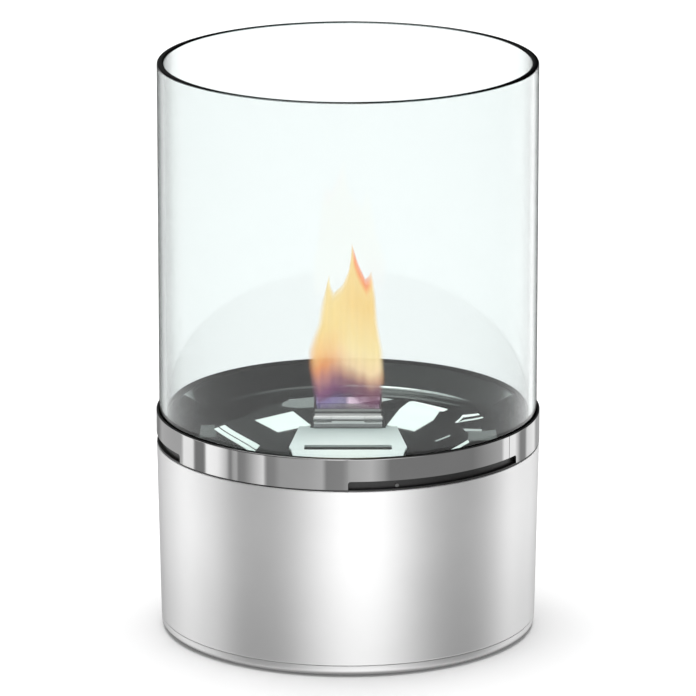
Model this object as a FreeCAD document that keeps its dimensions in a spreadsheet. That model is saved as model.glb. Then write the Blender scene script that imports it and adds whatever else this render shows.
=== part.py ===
import FreeCAD, Part
import Sketcher
import math
import os
from types import SimpleNamespace
from FreeCAD import Placement, Rotation, Vector

# Tabletop fireplace: a glass chimney in a polished ring, a dish with a small spirit burner,
# and a tapered metal drum that the ring, dish and burner lift out of.
# Millimetres, +Z up, origin under the middle of the foot mat, front towards -Y.

doc = FreeCAD.newDocument("TabletopFireplace")
sheet = doc.addObject("Spreadsheet::Sheet", "Sizes")

SIZES = {
    # Polished ring
    "ring_outer_diameter": "140",
    "ring_wall": "0.6",
    "ring_height": "11.4",
    "ring_edge_round": "0.25",
    "notch_count": "3",
    "notch_angle": "60",
    "notch_turn": "-60",
    "notch_height": "3.1",
    "notch_corner_round": "1",
    # Drum, bottom cover and mat
    "drum_top_inset": "0.1",
    "drum_taper": "1.3",
    "drum_height": "65.3",
    "drum_wall": "0.8",
    "drum_edge_round": "0.3",
    "pan_sheet": "0.8",
    "pan_inset": "0.15",
    "pan_rim_height": "3.8",
    "pan_edge_round": "2.1",
    "bead_margin": "4.65",
    "bead_width": "14",
    "bead_rise": "2.2",
    "bead_flank": "1.5",
    "mat_margin": "3",
    "mat_thickness": "0.6",
    # Lugs in the drum and the screws that hold the bottom cover
    "lug_count": "3",
    "lug_turn": "90",
    "lug_angle": "14",
    "lug_leaf": "1",
    "lug_reach": "16",
    "lug_height": "9.4",
    "lug_clearance": "0.1",
    "pan_screw_diameter": "3",
    "pan_screw_length": "5",
    "pan_screw_head_diameter": "5.5",
    "pan_screw_head_height": "1.6",
    "screw_hole_clearance": "0.1",
    # Dark carrier ring
    "carrier_sheet": "0.8",
    "carrier_gap": "0.56",
    "carrier_skirt_depth": "7",
    "carrier_flange": "0.6",
    "carrier_flange_inset": "0.3",
    "shelf_drop": "6.7",
    "shelf_width": "4.7",
    "ledge_margin": "0.6",
    # Spring clips and rivets
    "clip_turn": "-75.35",
    "clip_angle": "7",
    "clip_sheet": "0.4",
    "clip_top_margin": "1.6",
    "clip_tail_length": "6",
    "clip_drum_gap": "0.35",
    "rivet_rise": "0.85",
    "rivet_head_diameter": "1.4",
    "rivet_head_height": "0.4",
    "rivet_diameter": "0.8",
    "rivet_hole_clearance": "0.05",
    # Glass and its gasket
    "gasket_lip": "0.2",
    "gasket_base": "1",
    "gasket_bead_height": "0.4",
    "gasket_bead_inset": "0.15",
    "gasket_foot_margin": "0.25",
    "glass_clearance": "0.3",
    "glass_wall": "2.6",
    "glass_height": "135",
    "glass_edge_round": "0.8",
    # Dish
    "dish_sheet": "0.8",
    "dish_rim_clearance": "0.35",
    "dish_rim_drop": "0.5",
    "dish_depth": "9",
    "dish_well_clearance": "1.8",
    "dish_corner_round": "2",
    "dish_crease_round": "3",
    "gutter_width": "6",
    "deck_diameter": "76",
    "deck_rise": "3.5",
    # Studs and nuts under the dish
    "stud_diameter": "2",
    "stud_length": "4.9",
    "stud_hole_clearance": "0.1",
    "nut_width": "4",
    "nut_thickness": "1.6",
    "dish_stud_count": "3",
    "dish_stud_inset": "2.2",
    "can_stud_count": "4",
    "can_stud_inset": "3.1",
    # Burner
    "collar_width": "24.8",
    "collar_depth": "20.4",
    "collar_height": "8.1",
    "collar_wall": "0.8",
    "collar_corner_round": "1",
    "collar_flange_width": "0.9",
    "collar_flange_thickness": "0.8",
    "can_deck_margin": "1.5",
    "can_height": "44.3",
    "can_sheet": "0.7",
    "can_flange_width": "6.5",
    "can_edge_round": "4",
    "can_gasket_thickness": "0.6",
    "wool_clearance": "0.3",
    "wool_height": "35.3",
    "wick_clearance": "0.3",
    "wick_drop": "3.6",
    "screen_clearance": "0.2",
    "screen_thickness": "0.5",
    "screen_slot_count": "6",
    "screen_slot_width": "1.7",
    "screen_slot_pitch": "2.7",
    "screen_margin": "1.4",
    # Hinge and flap
    "knuckle_diameter": "2.1",
    "pin_diameter": "1.2",
    "pin_clearance": "0.05",
    "pin_overhang": "0.3",
    "hinge_gap": "0.2",
    "leaf_thickness": "0.6",
    "leaf_top_rise": "0.4",
    "flap_knuckle_width": "12",
    "flap_sheet": "0.8",
    "flap_lift": "0.7",
    "flap_close_gap": "0.3",
    "flap_rest_gap": "0.3",
    "flap_rear_width": "35.5",
    "flap_wide_width": "42.1",
    "flap_tip_width": "36.8",
    "flap_tip_margin": "4.65",
    "flap_lip_length": "10",
    "flap_wide_set_back": "4.5",
    "ear_reach": "1.85",
    "ear_gap": "1.3",
    "flap_slot_width": "31.3",
    "flap_slot_set_back": "1",
    "flap_slot_depth": "6",
    "flap_slot_round": "0.8",
    # How far cutting shapes pass the faces that they cut
    "overrun": "2",
}
for row, (alias, number) in enumerate(SIZES.items(), 1):
    sheet.set(f"A{row}", alias.replace("_", " "))
    sheet.set(f"B{row}", number)
    sheet.setAlias(f"B{row}", alias)
doc.recompute()


class Size:
    """A size worked out from the sheet: its value now, and the expression that keeps it bound."""

    def __init__(self, value, text):
        self.value = value
        self.text = text

    def __add__(self, other):
        return Size(self.value + other.value, f"({self.text} + {other.text})")

    def __sub__(self, other):
        return Size(self.value - other.value, f"({self.text} - {other.text})")

    def __neg__(self):
        return Size(-self.value, f"(-1 * {self.text})")

    def __mul__(self, factor):
        other = factor if isinstance(factor, Size) else Size(factor, repr(factor))
        return Size(self.value * other.value, f"({self.text} * {other.text})")

    def __truediv__(self, factor):
        other = factor if isinstance(factor, Size) else Size(factor, repr(factor))
        return Size(self.value / other.value, f"({self.text} / {other.text})")


def least(first, second):
    return Size(min(first.value, second.value), f"min({first.text}; {second.text})")


size = SimpleNamespace(**{alias: Size(float(sheet.get(alias)), f"Sizes.{alias}") for alias in SIZES})
nothing = Size(0, "0")
same_place = 0.001
sub_parts = []


# Building blocks

def new_body(label, turn=None):
    """A sub-part of its own, turned about the vertical axis if asked."""
    body = doc.addObject("PartDesign::Body", label)
    body.Label = label
    body.Placement = Placement(Vector(), Rotation(Vector(0, 0, 1), turn.value if turn else 0))
    if turn:
        body.setExpression("Placement.Rotation.Angle", turn.text)
    sub_parts.append(body)
    return body


def origin_feature(body, role):
    return next(item for item in body.Origin.OriginFeatures if item.Role == role)


def new_sketch(body, plane, lift=None):
    """A sketch on one of the body's own planes, raised along the plane's normal by lift."""
    sketch = body.newObject("Sketcher::SketchObject", body.Label + "_sketch")
    sketch.AttachmentSupport = [(origin_feature(body, plane), "")]
    sketch.MapMode = "FlatFace"
    if lift:
        sketch.setExpression("AttachmentOffset.Base.z", lift.text)
    return sketch


def pin_point(sketch, geometry, end, across, up):
    """Bind one end of a line, or the middle of a circle, to its place from the sketch's origin."""
    for kind, place, axis in (("DistanceX", across, -2), ("DistanceY", up, -1)):
        if place.value == 0:
            sketch.addConstraint(Sketcher.Constraint("PointOnObject", geometry, end, axis))
            continue
        if place.value > 0:
            constraint = Sketcher.Constraint(kind, -1, 1, geometry, end, place.value)
        else:
            place = -place
            constraint = Sketcher.Constraint(kind, geometry, end, -1, 1, place.value)
        number = sketch.addConstraint(constraint)
        sketch.setExpression(f"Constraints[{number}]", place.text)


def draw_outline(sketch, points):
    """A closed outline of straight lines through the points."""
    first = sketch.GeometryCount
    corners = [Vector(across.value, up.value, 0) for across, up in points]
    for start, end in zip(corners, corners[1:] + corners[:1]):
        sketch.addGeometry(Part.LineSegment(start, end), False)
    for number, (across, up) in enumerate(points):
        following = (number + 1) % len(points)
        sketch.addConstraint(Sketcher.Constraint("Coincident", first + number, 2, first + following, 1))
        pin_point(sketch, first + number, 1, across, up)


def draw_box(sketch, low, high):
    """A rectangle between two opposite corners."""
    draw_outline(sketch, [low, (high[0], low[1]), high, (low[0], high[1])])


def draw_circle(sketch, across, up, radius):
    middle = Vector(across.value, up.value, 0)
    geometry = sketch.addGeometry(Part.Circle(middle, Vector(0, 0, 1), radius.value), False)
    pin_point(sketch, geometry, 3, across, up)
    number = sketch.addConstraint(Sketcher.Constraint("Radius", geometry, radius.value))
    sketch.setExpression(f"Constraints[{number}]", radius.text)


def draw_axis(sketch, start, end):
    """A construction line that a section turns about."""
    ends = [Vector(across.value, up.value, 0) for across, up in (start, end)]
    geometry = sketch.addGeometry(Part.LineSegment(*ends), True)
    pin_point(sketch, geometry, 1, *start)
    pin_point(sketch, geometry, 2, *end)


def add_feature(body, kind, sketch):
    feature = body.newObject("PartDesign::" + kind, f"{body.Label}_{kind.lower()}")
    feature.Profile = sketch
    return feature


def revolve(body, points, angle=None):
    """Turn a section, given as (radius, height) points, about the vertical axis."""
    sketch = new_sketch(body, "XZ_Plane")
    draw_outline(sketch, points)
    feature = add_feature(body, "Revolution", sketch)
    feature.ReferenceAxis = (sketch, ["V_Axis"])
    feature.Angle = 360
    if angle:
        feature.Midplane = True
        feature.setExpression("Angle", angle.text)
    return feature


def turn_section(body, kind, points, axis):
    """Turn a section about a line of its own, as a solid or as a cut."""
    sketch = new_sketch(body, "XZ_Plane")
    draw_outline(sketch, points)
    draw_axis(sketch, *axis)
    feature = add_feature(body, kind, sketch)
    feature.ReferenceAxis = (sketch, ["Axis0"])
    feature.Angle = 360
    return feature


def pad(body, sketch, length, both_ways=False):
    feature = add_feature(body, "Pad", sketch)
    feature.Midplane = both_ways
    feature.setExpression("Length", length.text)
    return feature


def cut_through(body, sketch):
    feature = add_feature(body, "Pocket", sketch)
    feature.Midplane = True
    feature.Type = "ThroughAll"
    return feature


def cut_middle(body, sketch, length):
    feature = add_feature(body, "Pocket", sketch)
    feature.Midplane = True
    feature.setExpression("Length", length.text)
    return feature


def repeat_round(body, features, count):
    """Copies of the features, evenly spaced about the vertical axis."""
    pattern = body.newObject("PartDesign::PolarPattern", body.Label + "_pattern")
    pattern.Originals = features
    pattern.Axis = (origin_feature(body, "Z_Axis"), [""])
    pattern.Angle = 360
    pattern.setExpression("Occurrences", count.text)
    body.Tip = pattern


def round_edges(body, radius, wanted):
    """Round the edges that the test picks out of the body's shape so far."""
    doc.recompute()
    base = body.Tip
    names = [f"Edge{number}" for number, edge in enumerate(base.Shape.Edges, 1) if wanted(edge)]
    fillet = body.newObject("PartDesign::Fillet", body.Label + "_fillet")
    fillet.Base = (base, names)
    fillet.setExpression("Radius", radius.text)


def is_hoop(radius, height):
    """Test for a round edge about the vertical axis, by its radius and height."""
    def test(edge):
        curve = edge.Curve
        if not isinstance(curve, Part.Circle):
            return False
        same_radius = abs(curve.Radius - radius.value) < same_place
        return same_radius and abs(curve.Center.z - height.value) < same_place
    return test


def any_of(*tests):
    return lambda edge: any(test(edge) for test in tests)


def is_upright(edge):
    """Test for a straight vertical edge."""
    return isinstance(edge.Curve, Part.Line) and abs(abs(edge.Curve.Direction.z) - 1) < same_place


# Levels and radii that several pieces share

pan_floor = size.mat_thickness
bead_under = pan_floor + size.bead_rise
bead_top = bead_under + size.pan_sheet
drum_foot = pan_floor + size.pan_rim_height
drum_top = drum_foot + size.drum_height
ring_foot = drum_top + size.carrier_flange
ring_top = ring_foot + size.ring_height

ring_outer = size.ring_outer_diameter / 2
ring_inner = ring_outer - size.ring_wall
drum_top_outer = ring_outer - size.drum_top_inset
drum_foot_outer = drum_top_outer - size.drum_taper
pan_outer = drum_foot_outer - size.pan_inset
pan_inner = pan_outer - size.pan_sheet
bead_outer = pan_inner - size.bead_margin
bead_inner = bead_outer - size.bead_width
pan_screw_circle = (bead_inner + bead_outer) / 2


def drum_inner(height):
    """Inside radius of the tapered drum at a height."""
    taper = (drum_top_outer - drum_foot_outer) * (height - drum_foot) / size.drum_height
    return drum_foot_outer + taper - size.drum_wall


shelf_top = ring_top - size.shelf_drop
glass_foot = shelf_top + size.gasket_base
glass_outer = ring_inner - size.gasket_lip - size.glass_clearance
glass_inner = glass_outer - size.glass_wall

carrier_foot = drum_top - size.carrier_skirt_depth
carrier_outer = least(drum_inner(carrier_foot), drum_inner(drum_top)) - size.carrier_gap
carrier_inner = carrier_outer - size.carrier_sheet
well_inner = ring_inner - size.shelf_width

dish_rim_top = ring_top - size.dish_rim_drop
gutter_floor = dish_rim_top - size.dish_depth
gutter_under = gutter_floor - size.dish_sheet
deck_top = gutter_floor + size.deck_rise
deck_under = deck_top - size.dish_sheet
dish_rim_outer = glass_inner - size.dish_rim_clearance
dish_foot_outer = well_inner - size.dish_well_clearance
gutter_outer = dish_foot_outer - size.dish_sheet
gutter_inner = gutter_outer - size.gutter_width
deck_edge = size.deck_diameter / 2
dish_stud_circle = gutter_inner + size.dish_stud_inset
can_flange_outer = deck_edge - size.can_deck_margin
can_stud_circle = can_flange_outer - size.can_stud_inset
stud_hole = size.stud_diameter / 2 + size.stud_hole_clearance

can_outer = can_flange_outer - size.can_flange_width
can_inner = can_outer - size.can_sheet
can_top = deck_under - size.can_gasket_thickness
can_foot = can_top - size.can_height
can_flange_under = can_top - size.can_sheet
wool_foot = can_foot + size.can_sheet
wool_top = wool_foot + size.wool_height

collar_side = size.collar_width / 2
collar_front = size.collar_depth / 2
mouth_side = collar_side - size.collar_wall
mouth_front = collar_front - size.collar_wall
collar_top = deck_top + size.collar_height
wick_top = collar_top - size.wick_drop

knuckle_radius = size.knuckle_diameter / 2
pin_radius = size.pin_diameter / 2
bore_radius = pin_radius + size.pin_clearance
flap_under = deck_top + size.flap_lift
flap_top = flap_under + size.flap_sheet
hinge_y = -(collar_front + size.hinge_gap + knuckle_radius)
hinge_z = (collar_top + size.flap_close_gap + flap_top) / 2


# Base: mat, bottom cover, drum, lugs and screws

def make_base_mat():
    body = new_body("base_mat")
    sketch = new_sketch(body, "XY_Plane")
    draw_circle(sketch, nothing, nothing, bead_inner - size.mat_margin)
    pad(body, sketch, size.mat_thickness)


def make_base_pan():
    """Pressed cover with a rounded rim and a raised bead that the screw heads hide in."""
    body = new_body("base_pan", size.lug_turn)
    floor_top = pan_floor + size.pan_sheet
    rim_top = pan_floor + size.pan_rim_height
    lean = size.pan_sheet / 2
    revolve(body, [
        (nothing, pan_floor), (bead_inner, pan_floor), (bead_inner + size.bead_flank, bead_under),
        (bead_outer - size.bead_flank, bead_under), (bead_outer, pan_floor), (pan_outer, pan_floor),
        (pan_outer, rim_top), (pan_inner, rim_top), (pan_inner, floor_top), (bead_outer + lean, floor_top),
        (bead_outer - size.bead_flank + lean, bead_top), (bead_inner + size.bead_flank - lean, bead_top),
        (bead_inner - lean, floor_top), (nothing, floor_top),
    ])
    round_edges(body, size.pan_edge_round, is_hoop(pan_outer, pan_floor))
    round_edges(body, size.pan_edge_round - size.pan_sheet, is_hoop(pan_inner, floor_top))
    round_edges(body, size.drum_edge_round, is_hoop(pan_outer, rim_top))
    sketch = new_sketch(body, "XY_Plane")
    hole = size.pan_screw_diameter / 2 + size.screw_hole_clearance
    draw_circle(sketch, pan_screw_circle, nothing, hole)
    repeat_round(body, [cut_through(body, sketch)], size.lug_count)


def make_base_drum():
    """Tapered shell, open at both ends, standing on the rim of the bottom cover."""
    body = new_body("base_drum")
    foot_inner = drum_foot_outer - size.drum_wall
    top_inner = drum_top_outer - size.drum_wall
    revolve(body, [(foot_inner, drum_foot), (drum_foot_outer, drum_foot),
                   (drum_top_outer, drum_top), (top_inner, drum_top)])
    round_edges(body, size.drum_edge_round, any_of(is_hoop(drum_foot_outer, drum_foot),
                                                   is_hoop(drum_top_outer, drum_top)))


def make_drum_lugs():
    """Angle brackets welded inside the drum, lying on the bead, each with a screw hole."""
    body = new_body("drum_lugs", size.lug_turn)
    leaf_top = bead_top + size.lug_leaf
    lug_top = bead_top + size.lug_height
    foot_outer = pan_inner - size.lug_clearance
    top_outer = drum_inner(lug_top) - size.lug_clearance
    leaf_end = foot_outer - size.lug_reach
    lug = revolve(body, [
        (leaf_end, bead_top), (foot_outer, bead_top), (top_outer, lug_top),
        (top_outer - size.lug_leaf, lug_top), (foot_outer - size.lug_leaf, leaf_top), (leaf_end, leaf_top),
    ], size.lug_angle)
    sketch = new_sketch(body, "XY_Plane")
    hole = size.pan_screw_diameter / 2 + size.screw_hole_clearance
    draw_circle(sketch, pan_screw_circle, nothing, hole)
    repeat_round(body, [lug, cut_through(body, sketch)], size.lug_count)


def make_pan_screws():
    body = new_body("pan_screws", size.lug_turn)
    head = pan_screw_circle + size.pan_screw_head_diameter / 2
    shank = pan_screw_circle + size.pan_screw_diameter / 2
    head_under = bead_under - size.pan_screw_head_height
    tip = bead_under + size.pan_screw_length
    screw = turn_section(body, "Revolution", [
        (pan_screw_circle, head_under), (head, head_under), (head, bead_under),
        (shank, bead_under), (shank, tip), (pan_screw_circle, tip),
    ], ((pan_screw_circle, head_under), (pan_screw_circle, tip)))
    repeat_round(body, [screw], size.lug_count)


# Top: carrier ring, clips, polished ring, gasket and glass

rivet_height = ring_foot + size.rivet_rise
clip_outer = carrier_inner
clip_inner = clip_outer - size.clip_sheet


def cut_rivet_hole(body):
    """A hole along the radius, where a rivet passes."""
    hole = rivet_height + size.rivet_diameter / 2 + size.rivet_hole_clearance
    start = clip_inner - size.overrun
    end = carrier_outer + size.overrun
    return turn_section(body, "Groove", [
        (start, rivet_height), (end, rivet_height), (end, hole), (start, hole),
    ], ((start, rivet_height), (end, rivet_height)))


def make_carrier_ring():
    """Black ring: a skirt inside the drum, a flange on the drum's edge, a shelf for the glass
    and, lower down, a ledge for the dish."""
    body = new_body("carrier_ring", size.clip_turn)
    flange = ring_outer - size.carrier_flange_inset
    shelf_under = shelf_top - size.carrier_sheet
    ledge_under = gutter_under - size.carrier_sheet
    ledge = gutter_inner - size.ledge_margin
    well_outer = well_inner + size.carrier_sheet
    revolve(body, [
        (carrier_outer, carrier_foot), (carrier_outer, drum_top), (flange, drum_top), (flange, ring_foot),
        (carrier_outer, ring_foot), (carrier_outer, shelf_under), (ring_inner, shelf_under),
        (ring_inner, shelf_top), (well_inner, shelf_top), (well_inner, gutter_under),
        (ledge, gutter_under), (ledge, ledge_under),
        (well_outer, ledge_under), (well_outer, shelf_under), (carrier_inner, shelf_under),
        (carrier_inner, carrier_foot),
    ])
    sketch = new_sketch(body, "XY_Plane")
    draw_circle(sketch, dish_stud_circle, nothing, stud_hole)
    repeat_round(body, [cut_through(body, sketch)], size.dish_stud_count)
    repeat_round(body, [cut_rivet_hole(body)], size.notch_count)


def make_spring_clips():
    """Bent strips riveted inside the skirt: below it they bow out towards the drum."""
    body = new_body("spring_clips", size.clip_turn)
    top = rivet_height + size.clip_top_margin
    tail = carrier_foot - size.clip_tail_length
    middle = (carrier_foot + tail) / 2
    bow_outer = drum_inner(middle) - size.clip_drum_gap
    bow_inner = bow_outer - size.clip_sheet
    tail_outer = least(clip_outer, drum_inner(tail) - size.clip_drum_gap)
    tail_inner = tail_outer - size.clip_sheet
    strip = revolve(body, [
        (clip_inner, top), (clip_outer, top), (clip_outer, carrier_foot), (bow_outer, middle),
        (tail_outer, tail), (tail_inner, tail), (bow_inner, middle), (clip_inner, carrier_foot),
    ], size.clip_angle)
    repeat_round(body, [strip, cut_rivet_hole(body)], size.notch_count)


def make_clip_rivets():
    body = new_body("clip_rivets", size.clip_turn)
    head = rivet_height + size.rivet_head_diameter / 2
    shank = rivet_height + size.rivet_diameter / 2
    outer = carrier_outer + size.rivet_head_height
    inner = clip_inner - size.rivet_head_height
    rivet = turn_section(body, "Revolution", [
        (inner, rivet_height), (outer, rivet_height), (outer, head), (carrier_outer, head),
        (carrier_outer, shank), (clip_inner, shank), (clip_inner, head), (inner, head),
    ], ((inner, rivet_height), (outer, rivet_height)))
    repeat_round(body, [rivet], size.notch_count)


def make_trim_ring():
    """Polished band with finger notches in its lower edge."""
    body = new_body("trim_ring", size.notch_turn)
    revolve(body, [(ring_inner, ring_foot), (ring_outer, ring_foot),
                   (ring_outer, ring_top), (ring_inner, ring_top)])
    notch_top = ring_foot + size.notch_height
    sketch = new_sketch(body, "XZ_Plane")
    low = (ring_inner - size.overrun, ring_foot - size.overrun)
    draw_box(sketch, low, (ring_outer + size.overrun, notch_top))
    notch = add_feature(body, "Groove", sketch)
    notch.ReferenceAxis = (sketch, ["V_Axis"])
    notch.Midplane = True
    notch.setExpression("Angle", size.notch_angle.text)
    repeat_round(body, [notch], size.notch_count)

    def is_notch_corner(edge):
        return isinstance(edge.Curve, Part.Line) and all(
            abs(vertex.Point.z - notch_top.value) < same_place for vertex in edge.Vertexes)

    round_edges(body, size.notch_corner_round, is_notch_corner)
    round_edges(body, size.ring_edge_round, is_hoop(ring_outer, ring_top))


def make_glass_gasket():
    """Black seal: a foot under the glass, a lip up the ring and a bead over the ring's edge."""
    body = new_body("glass_gasket")
    foot_inner = glass_inner - size.gasket_foot_margin
    lip_inner = ring_inner - size.gasket_lip
    bead_edge = ring_outer - size.gasket_bead_inset
    bead_crown = ring_top + size.gasket_bead_height
    revolve(body, [
        (foot_inner, shelf_top), (ring_inner, shelf_top), (ring_inner, ring_top), (bead_edge, ring_top),
        (bead_edge, bead_crown), (lip_inner, bead_crown), (lip_inner, glass_foot), (foot_inner, glass_foot),
    ])
    round_edges(body, size.gasket_bead_height / 2, is_hoop(bead_edge, bead_crown))


def make_glass_cylinder():
    body = new_body("glass_cylinder")
    glass_top = glass_foot + size.glass_height
    revolve(body, [(glass_inner, glass_foot), (glass_outer, glass_foot),
                   (glass_outer, glass_top), (glass_inner, glass_top)])
    round_edges(body, size.glass_edge_round, any_of(is_hoop(glass_outer, glass_top),
                                                    is_hoop(glass_inner, glass_top)))


# Dish and burner

def make_fire_dish():
    """Pressed dish: a raised deck with the burner's mouth in it, a gutter and a leaning wall."""
    body = new_body("fire_dish")
    rim_inner = dish_rim_outer - size.dish_sheet
    revolve(body, [
        (nothing, deck_top), (deck_edge, deck_top), (gutter_inner, gutter_floor),
        (gutter_outer, gutter_floor), (rim_inner, dish_rim_top), (dish_rim_outer, dish_rim_top),
        (dish_foot_outer, gutter_under),
        (gutter_inner, gutter_under), (deck_edge, deck_under), (nothing, deck_under),
    ])
    round_edges(body, size.dish_corner_round, is_hoop(gutter_outer, gutter_floor))
    round_edges(body, size.dish_corner_round + size.dish_sheet, is_hoop(dish_foot_outer, gutter_under))
    round_edges(body, size.dish_crease_round, any_of(is_hoop(gutter_inner, gutter_floor),
                                                     is_hoop(deck_edge, deck_top)))
    round_edges(body, size.dish_sheet / 3, any_of(is_hoop(rim_inner, dish_rim_top),
                                                  is_hoop(dish_rim_outer, dish_rim_top)))
    sketch = new_sketch(body, "XY_Plane")
    draw_box(sketch, (-mouth_side, -mouth_front), (mouth_side, mouth_front))
    cut_through(body, sketch)


def make_studs(label, circle, top, count, turn):
    """Plain studs that hang down from a welded end."""
    body = new_body(label, turn)
    sketch = new_sketch(body, "XY_Plane", top - size.stud_length)
    draw_circle(sketch, circle, nothing, size.stud_diameter / 2)
    repeat_round(body, [pad(body, sketch, size.stud_length)], count)


def make_nuts(label, circle, top, count, turn):
    """Six-sided nuts, with room for the studs, pulled up against a face."""
    body = new_body(label, turn)
    sketch = new_sketch(body, "XY_Plane", top - size.nut_thickness)
    corner = size.nut_width / math.sqrt(3)
    turns = [math.radians(30 + 60 * number) for number in range(6)]
    draw_outline(sketch, [(circle + corner * math.cos(turn_by), corner * math.sin(turn_by))
                          for turn_by in turns])
    draw_circle(sketch, circle, nothing, stud_hole)
    repeat_round(body, [pad(body, sketch, size.nut_thickness)], count)


def make_fuel_can():
    """Drawn can with a flange, hung under the deck."""
    body = new_body("fuel_can")
    revolve(body, [
        (nothing, can_foot), (can_outer, can_foot), (can_outer, can_flange_under),
        (can_flange_outer, can_flange_under), (can_flange_outer, can_top), (can_inner, can_top),
        (can_inner, wool_foot), (nothing, wool_foot),
    ])
    round_edges(body, size.can_edge_round, is_hoop(can_outer, can_foot))
    round_edges(body, size.can_edge_round - size.can_sheet, is_hoop(can_inner, wool_foot))
    sketch = new_sketch(body, "XY_Plane")
    draw_circle(sketch, can_stud_circle, nothing, stud_hole)
    repeat_round(body, [cut_through(body, sketch)], size.can_stud_count)


def make_can_gasket():
    body = new_body("can_gasket")
    revolve(body, [(can_inner, can_top), (can_flange_outer, can_top),
                   (can_flange_outer, deck_under), (can_inner, deck_under)])
    sketch = new_sketch(body, "XY_Plane")
    draw_circle(sketch, can_stud_circle, nothing, stud_hole)
    repeat_round(body, [cut_through(body, sketch)], size.can_stud_count)


def make_wool_fill():
    """Absorbent block that holds the fuel, shaped to the rounded foot of the can."""
    body = new_body("wool_fill")
    outer = can_inner - size.wool_clearance
    revolve(body, [(nothing, wool_foot), (outer, wool_foot), (outer, wool_top), (nothing, wool_top)])
    round_edges(body, size.can_edge_round - size.can_sheet, is_hoop(outer, wool_foot))


def make_wick_strip():
    body = new_body("wick_strip")
    side = mouth_side - size.wick_clearance
    front = mouth_front - size.wick_clearance
    sketch = new_sketch(body, "XY_Plane", wool_top)
    draw_box(sketch, (-side, -front), (side, front))
    pad(body, sketch, wick_top - wool_top)


def make_wick_screen():
    """Slotted plate over the wick, inside the mouth."""
    body = new_body("wick_screen")
    side = mouth_side - size.screen_clearance
    front = mouth_front - size.screen_clearance
    sketch = new_sketch(body, "XY_Plane", wick_top)
    draw_box(sketch, (-side, -front), (side, front))
    pad(body, sketch, size.screen_thickness)
    run = size.screen_slot_pitch * (size.screen_slot_count.value - 1)
    first = -(run + size.screen_slot_width) / 2
    half = side - size.screen_margin
    sketch = new_sketch(body, "XY_Plane")
    draw_box(sketch, (-half, first), (half, first + size.screen_slot_width))
    slots = body.newObject("PartDesign::LinearPattern", "screen_slots")
    slots.Originals = [cut_through(body, sketch)]
    slots.Direction = (origin_feature(body, "Y_Axis"), [""])
    slots.setExpression("Length", run.text)
    slots.setExpression("Occurrences", size.screen_slot_count.text)
    body.Tip = slots


def make_burner_collar():
    """Square-cornered mouth with a flange that is welded to the deck."""
    body = new_body("burner_collar")
    flange = size.collar_flange_width
    for side, front, height in ((collar_side, collar_front, size.collar_height),
                                (collar_side + flange, collar_front + flange, size.collar_flange_thickness)):
        sketch = new_sketch(body, "XY_Plane", deck_top)
        draw_box(sketch, (-side, -front), (side, front))
        draw_box(sketch, (-mouth_side, -mouth_front), (mouth_side, mouth_front))
        pad(body, sketch, height)

    def is_outer_corner(edge):
        return is_upright(edge) and abs(abs(edge.CenterOfMass.x) - collar_side.value) < same_place

    round_edges(body, size.collar_corner_round, is_outer_corner)


# Hinge and flap

def make_hinge_leaf():
    """Plate on the front of the collar with a knuckle at each end, open in the middle
    for the flap's knuckle."""
    body = new_body("hinge_leaf")
    back = -collar_front
    low = deck_top + size.collar_flange_thickness
    high = hinge_z + size.leaf_top_rise
    width = size.collar_width - size.collar_corner_round * 2
    sketch = new_sketch(body, "YZ_Plane")
    draw_box(sketch, (back - size.leaf_thickness, low), (back, high))
    pad(body, sketch, width, True)
    sketch = new_sketch(body, "YZ_Plane")
    draw_circle(sketch, hinge_y, hinge_z, knuckle_radius)
    pad(body, sketch, size.collar_width, True)
    reach = knuckle_radius + size.hinge_gap
    sketch = new_sketch(body, "YZ_Plane")
    draw_box(sketch, (hinge_y - reach, hinge_z - reach), (back + size.overrun, hinge_z + reach))
    cut_middle(body, sketch, size.flap_knuckle_width + size.hinge_gap * 2)
    sketch = new_sketch(body, "YZ_Plane")
    draw_circle(sketch, hinge_y, hinge_z, bore_radius)
    cut_through(body, sketch)


def make_hinge_pin():
    body = new_body("hinge_pin")
    sketch = new_sketch(body, "YZ_Plane")
    draw_circle(sketch, hinge_y, hinge_z, pin_radius)
    pad(body, sketch, size.collar_width + size.pin_overhang * 2, True)


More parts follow.
